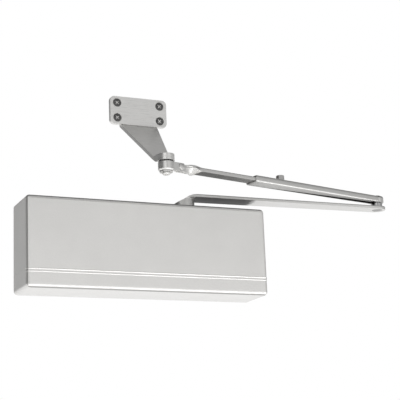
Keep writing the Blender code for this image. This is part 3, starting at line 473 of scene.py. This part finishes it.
def make_finishes(colours):
    for name, maker in (("Sprayed Flake", flake_group), ("Handling Marks", wear_group),
                        ("Tooling Grain", grain_group), ("Ragged Reach", reach_group)):
        GROUPS[name] = maker()
    screw = tuple(colours.screw)
    finishes = {
        "silver_paint": cover_finish(colours),
        "arm_steel": arm_finish("Satin Silver", colours),
        "main_arm": main_arm_finish(colours),
        "rod": rod_finish(colours),
        "sleeve": sleeve_finish(colours),
        "clamp_screw": arm_finish("Plated Clamp Screw", colours, 0.8),
        "shoe": shoe_finish(colours),
        "shoe_screw": shoe_screw_finish(screw),
        "cast_iron": machined("Sprayed Casting", (0.15, 0.15, 0.16), 0.55, grain=700.0, pits=1.0,
                              pit_scale=260.0, depth=0.15 * MM, metallic=0.45),
        "machined_steel": machined("Turned Steel", (0.5, 0.5, 0.5), 0.25),
        "screw_steel": machined("Plated Steel", screw, 0.3),
        "spring_steel": machined("Oiled Spring Steel", (0.26, 0.27, 0.29), 0.34),
        "bronze": machined("Bearing Bronze", (0.55, 0.36, 0.14), 0.35),
        "black_rubber": machined("Moulded Rubber", (0.022, 0.022, 0.024), 0.7, grain=1200.0,
                                 pits=0.6, pit_scale=300.0, depth=0.04 * MM, metallic=0.0),
        "brass": machined("Turned Brass", (0.68, 0.5, 0.2), 0.28),
    }
    return {slot: finish.material for slot, finish in finishes.items()}


FINISHES = {}


# ---- Modelling helpers ------------------------------------------------------------------------

def start_on(obj):
    bpy.ops.object.select_all(action="DESELECT")
    obj.select_set(True)
    bpy.context.view_layer.objects.active = obj


def place(obj):
    """Put the piece's place into its mesh."""
    start_on(obj)
    bpy.ops.object.transform_apply(location=True, rotation=True, scale=True)


def add_block(name, low, high):
    """Block between two opposite corners."""
    low, high = Vector(low), Vector(high)
    bpy.ops.object.select_all(action="DESELECT")
    bpy.ops.mesh.primitive_cube_add(size=1, location=(low + high) / 2)
    obj = bpy.context.object
    obj.name = name
    obj.scale = high - low
    place(obj)
    return obj


def add_cylinder(name, radius, depth, at, vertices=48):
    """Upright cylinder."""
    bpy.ops.object.select_all(action="DESELECT")
    bpy.ops.mesh.primitive_cylinder_add(vertices=vertices, radius=radius, depth=depth, location=at)
    obj = bpy.context.object
    obj.name = name
    place(obj)
    return obj


def edit(obj):
    start_on(obj)
    bpy.ops.object.mode_set(mode="EDIT")


def leave():
    bpy.ops.object.mode_set(mode="OBJECT")


def pick(obj, kind, rule):
    """Select just the faces, edges or vertices that meet a rule, in edit mode."""
    modes = {"verts": "VERT", "edges": "EDGE", "faces": "FACE"}
    bpy.ops.mesh.select_mode(type=modes[kind])
    bpy.ops.mesh.select_all(action="DESELECT")
    mesh = bmesh.from_edit_mesh(obj.data)
    found = [element for element in getattr(mesh, kind) if rule(element)]
    for element in found:
        element.select_set(True)
    bmesh.update_edit_mesh(obj.data)
    if not found:
        raise RuntimeError("nothing to select on " + obj.name)


def middle(edge):
    return (edge.verts[0].co + edge.verts[1].co) / 2


def direction(edge):
    return (edge.verts[1].co - edge.verts[0].co).normalized()


def modify(obj, kind, **settings):
    """Add a modifier with its settings and apply it."""
    start_on(obj)
    modifier = obj.modifiers.new(kind.title(), kind)
    for key, value in settings.items():
        setattr(modifier, key, value)
    bpy.ops.object.modifier_apply(modifier=modifier.name)
    return obj


def round_edges(obj, width, segments=2, angle=30):
    return modify(obj, "BEVEL", width=width, segments=segments, limit_method="ANGLE",
                  angle_limit=math.radians(angle), use_clamp_overlap=True)


def cut(obj, *tools, how="DIFFERENCE"):
    """Cut tools out of a piece, or join them to it, and remove them."""
    for tool in tools:
        modify(obj, "BOOLEAN", operation=how, object=tool, solver="EXACT")
        bpy.data.objects.remove(tool)
    return obj


def shade(obj, angle=35):
    """Smooth shading that keeps the edges sharper than an angle and the flat faces flat."""
    start_on(obj)
    bpy.ops.object.shade_smooth_by_angle(angle=math.radians(angle))
    modify(obj, "WEIGHTED_NORMAL", keep_sharp=True)


def finished(obj, body, slot, *nodes, look=None):
    """Give a piece its finish, its body and the nodes it stands for."""
    obj.data.materials.clear()
    obj.data.materials.append(FINISHES[look or slot])
    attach(obj, body)
    if nodes:
        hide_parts(*nodes)
    return obj


def merged_copy(node, name):
    """Own copy of a node's mesh, with its loose triangles merged into flat faces."""
    mesh = NODES[node].data.copy()
    mesh.name = name
    obj = bpy.data.objects.new(name, mesh)
    bpy.context.scene.collection.objects.link(obj)
    start_on(obj)
    bpy.ops.mesh.customdata_custom_splitnormals_clear()
    edit(obj)
    bpy.ops.mesh.select_all(action="SELECT")
    bpy.ops.mesh.remove_doubles(threshold=0.000002)
    bpy.ops.mesh.dissolve_limited(angle_limit=math.radians(0.6))
    leave()
    return obj


def eased(node, body, slot, width, segments=2, look=None):
    """A node's shape with its edges eased, standing for the node."""
    obj = merged_copy(node, node + "_eased")
    round_edges(obj, width, segments, 32)
    shade(obj)
    return finished(obj, body, slot, node, look=look)


# ---- Pieces -----------------------------------------------------------------------------------

# the bead's two ridges: part of the bead's height, up from its foot, and part of how far it
# stands out there
BEAD_PROFILE = ((0.0, 0.0), (0.17, 0.7), (0.24, 0.7), (0.32, 0.2), (0.68, 0.2), (0.86, 0.9),
                (0.93, 0.9), (1.0, 0.0))
COVER_SCREW_HOLE = 2.2 * MM
TOUCH = 0.02 * MM  # points closer than this count as being on a line


def make_cover(sizes):
    """Thin rounded shell, open at the back, with the bead, the arm's notch and screw holes."""
    side = sizes.bead_proud / 2
    front = COVER_LOW.y + sizes.bead_proud
    shell = add_block("cover_shell", (COVER_LOW.x + side, front, COVER_LOW.z),
                      (COVER_HIGH.x - side, 0, COVER_HIGH.z))
    edit(shell)
    pick(shell, "faces", lambda face: face.normal.y > 0.9)
    bpy.ops.mesh.delete(type="FACE")
    pick(shell, "edges", lambda edge: not edge.is_boundary)
    bpy.ops.mesh.bevel(offset=sizes.corner, offset_type="OFFSET", segments=8, affect="EDGES")
    levels = [(sizes.bead_low + part * (sizes.bead_high - sizes.bead_low), proud)
              for part, proud in BEAD_PROFILE]
    for height, proud in levels:
        bpy.ops.mesh.select_all(action="SELECT")
        bpy.ops.mesh.bisect(plane_co=(0, 0, height), plane_no=(0, 0, 1))
    for height, proud in levels:
        pick(shell, "verts", lambda vert: abs(vert.co.z - height) < TOUCH and
             vert.co.y < front + sizes.corner + TOUCH)
        grown = [1 + side * proud / COVER_HIGH.x, 1 - sizes.bead_proud * proud / front, 1]
        bpy.ops.transform.resize(value=grown, center_override=(0, 0, height))
    leave()
    modify(shell, "SOLIDIFY", thickness=sizes.wall, offset=-1, use_even_offset=True)
    modify(shell, "BEVEL", width=0.35 * MM, segments=2, limit_method="ANGLE",
           angle_limit=math.radians(60))
    top = COVER_HIGH.z - sizes.wall / 2
    round_end = add_cylinder("notch", sizes.notch, 4 * sizes.wall, (PINION.x, PINION.y, top))
    straight = add_block("notch", (PINION.x - sizes.notch, PINION.y, top - 2 * sizes.wall),
                         (PINION.x + sizes.notch, sizes.notch, top + 2 * sizes.wall))
    cut(round_end, straight, how="UNION")
    holes = []
    for screw in ("cover_screw_left", "cover_screw_right"):
        low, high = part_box(screw)
        at = ((low.x + high.x) / 2, (low.y + high.y) / 2, top)
        holes.append(add_cylinder("hole", COVER_SCREW_HOLE, 4 * sizes.wall, at, vertices=24))
    cut(shell, round_end, *holes)
    shade(shell, 24)
    finished(shell, "closer", "silver_paint", "cover")


def make_main_arm(sizes):
    """Forged lever with its edges well eased."""
    arm = merged_copy("main_arm", "main_arm_forging")
    round_edges(arm, sizes.forged_edge, 3, 32)
    shade(arm)
    finished(arm, "arm", "arm_steel", "main_arm", look="main_arm")


def make_sleeve(sizes):
    """Flattened sleeve: its long edges are well rounded, its mouth is cut square."""
    sleeve = merged_copy("forearm_sleeve", "forearm_sleeve_drawn")
    low, high = SLEEVE_LOW.z, SLEEVE_HIGH.z
    along = Vector((FOREARM_DIRECTION.x, FOREARM_DIRECTION.y, 0))
    beside_elbow = 7.5 * MM
    across = Vector((-along.y, along.x, 0))
    edit(sleeve)

    def long_edge(edge):
        spot = middle(edge)
        on_skin = min(abs(spot.z - low), abs(spot.z - high)) < MM / 20
        reach = (spot - ELBOW).dot(along)
        aside = abs((spot - ELBOW).dot(across))
        on_rim = aside > beside_elbow or reach < -1 * MM
        level = abs(direction(edge).z) < 0.1
        lengthways = abs(direction(edge).dot(across)) < 0.999
        return on_skin and level and on_rim and (lengthways or reach < 0)
    pick(sleeve, "edges", long_edge)
    bpy.ops.mesh.bevel(offset=sizes.sleeve_edge, offset_type="OFFSET", segments=5, affect="EDGES")
    leave()
    round_edges(sleeve, 0.3 * MM, 2, 50)
    shade(sleeve)
    finished(sleeve, "forearm", "arm_steel", "forearm_sleeve", look="sleeve")


# node, body, slot, width of the eased edges in mm, segments and, if not the slot's own, the look
ARM_TRIM = (
    ("arm_washer", "arm", "screw_steel", 0.25, 2),
    ("arm_screw", "arm", "screw_steel", 0.3, 2),
    ("elbow_stud", "arm", "screw_steel", 0.3, 2),
    ("elbow_spacer", "arm", "machined_steel", 0.3, 2),
)
FOREARM_TRIM = (
    ("clamp_screw", "clamp_screw", "screw_steel", 0.35, 2, "clamp_screw"),
    ("forearm_rod", "rod", "arm_steel", 0.3, 2, "rod"),
    ("knuckle_pin", "rod", "arm_steel", 0.25, 2),
)
SWIVEL_TRIM = (
    ("swivel_barrel", "knuckle", "arm_steel", 0.5, 3),
    # the swivel washer takes the black rubber finish as painted shade: it stands in for the dark
    # gap at the top of the swivel barrel
    ("swivel_washer", "knuckle", "machined_steel", 0.2, 2, "black_rubber"),
    ("rivet_washer", "knuckle", "arm_steel", 0.3, 2),
    ("swivel_rivet", "knuckle", "arm_steel", 0.3, 2),
)
SHOE_TRIM = (
    ("shoe_bracket", "shoe", "arm_steel", 0.9, 3, "shoe"),
    ("shoe_screw_upper_left", "shoe", "screw_steel", 0.2, 2, "shoe_screw"),
    ("shoe_screw_lower_left", "shoe", "screw_steel", 0.2, 2, "shoe_screw"),
    ("shoe_screw_upper_right", "shoe", "screw_steel", 0.2, 2, "shoe_screw"),
    ("shoe_screw_lower_right", "shoe", "screw_steel", 0.2, 2, "shoe_screw"),
)
CASE_TRIM = (
    ("cover_screw_left", "closer", "screw_steel", 0.2, 2),
    ("cover_screw_right", "closer", "screw_steel", 0.2, 2),
    ("left_end_cap", "closer", "machined_steel", 0.5, 2),
    ("right_end_cap", "closer", "machined_steel", 0.5, 2),
    ("lower_gland", "closer", "machined_steel", 0.5, 2),
    ("upper_gland", "closer", "machined_steel", 0.5, 2),
)


def ease_all(rows):
    for node, body, slot, width, segments, *look in rows:
        eased(node, body, slot, width * MM, segments, *look)


# ---- Stage ------------------------------------------------------------------------------------

CAMERA_AT = Vector((-0.530, -1.395, -0.303))
CAMERA_YAW = math.radians(24.03)
CAMERA_PITCH = math.radians(13.98)
CAMERA_ROLL = math.radians(-2.27)
CAMERA_LENS = 109.25
FLOOR_HEIGHT = -0.36
FLOOR_GLOW = 0.66
# the room's brightness, by how high a direction points and by how far it points to the right
HEIGHT_TONES = ((-1.0, 0.9), (-0.1, 0.95), (0.27, 0.92), (0.42, 0.4), (0.55, 0.16),
                (0.68, 0.16), (0.8, 0.52), (1.0, 0.6))
SIDE_TONES = ((-1.0, 0.1), (-0.55, 0.2), (-0.2, 0.55), (0.15, 1.0), (0.5, 1.0), (0.74, 0.62),
              (1.0, 0.5))


# name, place, aim, width, depth, power
LIGHTS = (
    ("Front Softbox", (-1.6, -2.2, 1.4), (0, 0, 0), 2.0, 2.0, 12),
    ("Low Strip", (0.1, -0.36, FLOOR_HEIGHT + 0.03), (0.05, -0.05, 0), 1.6, 0.1, 1.7),
)


def make_camera():
    yaw, pitch, roll = CAMERA_YAW, CAMERA_PITCH, CAMERA_ROLL
    ahead = Vector((math.sin(yaw) * math.cos(pitch), math.cos(yaw) * math.cos(pitch),
                    math.sin(pitch)))
    level = Vector((math.cos(yaw), -math.sin(yaw), 0))
    up = level.cross(ahead)
    side = math.cos(roll) * level + math.sin(roll) * up
    top = -math.sin(roll) * level + math.cos(roll) * up
    turn = Matrix((side, top, -ahead)).transposed().to_4x4()
    data = bpy.data.cameras.new("Camera")
    data.lens = CAMERA_LENS
    data.sensor_width = 36
    data.clip_start = 0.02
    camera = bpy.data.objects.new("Camera", data)
    camera.matrix_world = Matrix.Translation(CAMERA_AT) @ turn
    bpy.context.scene.collection.objects.link(camera)
    bpy.context.scene.camera = camera


def add_light(name, at, aim, size, size_y, power):
    data = bpy.data.lights.new(name, "AREA")
    data.shape = "RECTANGLE"
    data.size = size
    data.size_y = size_y
    data.energy = power
    lamp = bpy.data.objects.new(name, data)
    lamp.location = at
    lamp.rotation_euler = (Vector(aim) - Vector(at)).to_track_quat("-Z", "Y").to_euler()
    bpy.context.scene.collection.objects.link(lamp)


def set_colours():
    """Plain colour management, so that white stays white."""
    view = bpy.context.scene.view_settings
    view.view_transform = "Standard"
    view.look = "None"


def make_floor():
    """Plain pale floor that glows softly, as a light table does."""
    bpy.ops.object.select_all(action="DESELECT")
    bpy.ops.mesh.primitive_circle_add(vertices=64, radius=6, fill_type="NGON",
                                      location=(0, 0, FLOOR_HEIGHT))
    floor = bpy.context.object
    floor.name = "studio_floor"
    material = bpy.data.materials.new("Studio Floor")
    material.use_nodes = True
    shader = material.node_tree.nodes["Principled BSDF"]
    shader.inputs["Base Color"].default_value = (0.86, 0.86, 0.86, 1)
    shader.inputs["Roughness"].default_value = 0.9
    shader.inputs["Emission Color"].default_value = (1, 1, 1, 1)
    shader.inputs["Emission Strength"].default_value = FLOOR_GLOW
    floor.data.materials.append(material)


def make_surroundings():
    """World light: a white room, darker overhead and to the left; plain white behind."""
    world = bpy.data.worlds.new("Studio Room")
    bpy.context.scene.world = world
    world.use_nodes = True
    tree = world.node_tree
    nodes, links = tree.nodes, tree.links
    nodes.clear()
    place_node = nodes.new("ShaderNodeTexCoord")
    separate = nodes.new("ShaderNodeSeparateXYZ")
    links.new(place_node.outputs["Generated"], separate.inputs["Vector"])

    def tones(axis, stops):
        """Brightness along an axis of the room, from (position, grey) stops."""
        ramp = nodes.new("ShaderNodeValToRGB")
        elements = ramp.color_ramp.elements
        for element, (position, grey) in zip(elements, (stops[0], stops[-1])):
            element.position, element.color = (position + 1) / 2, (grey, grey, grey, 1)
        for position, grey in stops[1:-1]:
            elements.new((position + 1) / 2).color = (grey, grey, grey, 1)
        links.new(spread(tree, separate.outputs[axis], -1, 1), ramp.inputs["Fac"])
        return ramp.outputs["Color"]
    room = nodes.new("ShaderNodeBackground")
    links.new(tones("Z", HEIGHT_TONES), room.inputs["Color"])
    links.new(tones("X", SIDE_TONES), room.inputs["Strength"])
    plain = nodes.new("ShaderNodeBackground")
    plain.inputs["Color"].default_value = (1, 1, 1, 1)
    rays = nodes.new("ShaderNodeLightPath")
    mix = nodes.new("ShaderNodeMixShader")
    output = nodes.new("ShaderNodeOutputWorld")
    links.new(rays.outputs["Is Camera Ray"], mix.inputs["Fac"])
    links.new(room.outputs["Background"], mix.inputs[1])
    links.new(plain.outputs["Background"], mix.inputs[2])
    links.new(mix.outputs["Shader"], output.inputs["Surface"])


# ---- Operators --------------------------------------------------------------------------------

class DOORCLOSER_OT_finishes(bpy.types.Operator):
    """Make the finishes and give them to every node of the frame"""
    bl_idname = "door_closer.finishes"
    bl_label = "Finishes"

    def execute(self, context):
        FINISHES.update(make_finishes(context.scene.door_closer_finish))
        for row in frame["record"]["subparts"]:
            materials = NODES[row["node"]].data.materials
            for index in range(len(materials)):
                materials[index] = FINISHES[row["material_slot"]]
        return {"FINISHED"}


class DOORCLOSER_OT_cover(bpy.types.Operator):
    """Model the cover's shell with its bead, notch and screw holes"""
    bl_idname = "door_closer.cover"
    bl_label = "Cover"

    def execute(self, context):
        make_cover(context.scene.door_closer_cover)
        return {"FINISHED"}


class DOORCLOSER_OT_case_trim(bpy.types.Operator):
    """Ease the cover's screws, the end caps and the glands"""
    bl_idname = "door_closer.case_trim"
    bl_label = "Case Trim"

    def execute(self, context):
        ease_all(CASE_TRIM)
        return {"FINISHED"}


class DOORCLOSER_OT_main_arm(bpy.types.Operator):
    """Model the forged main arm with the fastenings at its two ends"""
    bl_idname = "door_closer.main_arm"
    bl_label = "Main Arm"

    def execute(self, context):
        make_main_arm(context.scene.door_closer_arm)
        ease_all(ARM_TRIM)
        return {"FINISHED"}


class DOORCLOSER_OT_forearm(bpy.types.Operator):
    """Model the forearm's sleeve, its clamp screw and the twisted rod"""
    bl_idname = "door_closer.forearm"
    bl_label = "Forearm"

    def execute(self, context):
        make_sleeve(context.scene.door_closer_arm)
        ease_all(FOREARM_TRIM)
        return {"FINISHED"}


class DOORCLOSER_OT_swivel(bpy.types.Operator):
    """Model the swivel barrel below the shoe and its rivet"""
    bl_idname = "door_closer.swivel"
    bl_label = "Swivel"

    def execute(self, context):
        ease_all(SWIVEL_TRIM)
        return {"FINISHED"}


class DOORCLOSER_OT_shoe(bpy.types.Operator):
    """Model the shoe's bracket and its screws"""
    bl_idname = "door_closer.shoe"
    bl_label = "Shoe"

    def execute(self, context):
        ease_all(SHOE_TRIM)
        return {"FINISHED"}


class DOORCLOSER_OT_stage(bpy.types.Operator):
    """Set up the floor, the lights, the surroundings and the camera"""
    bl_idname = "door_closer.stage"
    bl_label = "Stage"

    def execute(self, context):
        make_floor()
        make_surroundings()
        for light in LIGHTS:
            add_light(*light)
        make_camera()
        set_colours()
        return {"FINISHED"}


OPERATORS = (DOORCLOSER_OT_finishes, DOORCLOSER_OT_cover, DOORCLOSER_OT_case_trim,
             DOORCLOSER_OT_main_arm, DOORCLOSER_OT_forearm, DOORCLOSER_OT_swivel,
             DOORCLOSER_OT_shoe, DOORCLOSER_OT_stage)


class DOORCLOSER_PT_panel(bpy.types.Panel):
    """Sidebar panel that lists the closer's pieces and settings"""
    bl_idname = "DOORCLOSER_PT_panel"
    bl_label = "Door Closer"
    bl_space_type = "VIEW_3D"
    bl_region_type = "UI"
    bl_category = "Door Closer"

    def draw(self, context):
        layout = self.layout
        for attribute, group in SIZE_GROUPS.items():
            box = layout.box()
            box.label(text=group.__doc__)
            settings = getattr(context.scene, attribute)
            for key in group.__annotations__:
                box.prop(settings, key)
        for operator in OPERATORS:
            layout.operator(operator.bl_idname)


def register():
    for group in SIZE_GROUPS.values():
        bpy.utils.register_class(group)
    for attribute, group in SIZE_GROUPS.items():
        setattr(bpy.types.Scene, attribute, bpy.props.PointerProperty(type=group))
    for item in OPERATORS + (DOORCLOSER_PT_panel,):
        bpy.utils.register_class(item)


def unregister():
    for item in reversed(OPERATORS + (DOORCLOSER_PT_panel,)):
        bpy.utils.unregister_class(item)
    for attribute, group in SIZE_GROUPS.items():
        delattr(bpy.types.Scene, attribute)
        bpy.utils.unregister_class(group)


def main():
    register()
    for operator in OPERATORS:
        category, name = operator.bl_idname.split(".")
        getattr(getattr(bpy.ops, category), name)()


if __name__ == "__main__":
    main()
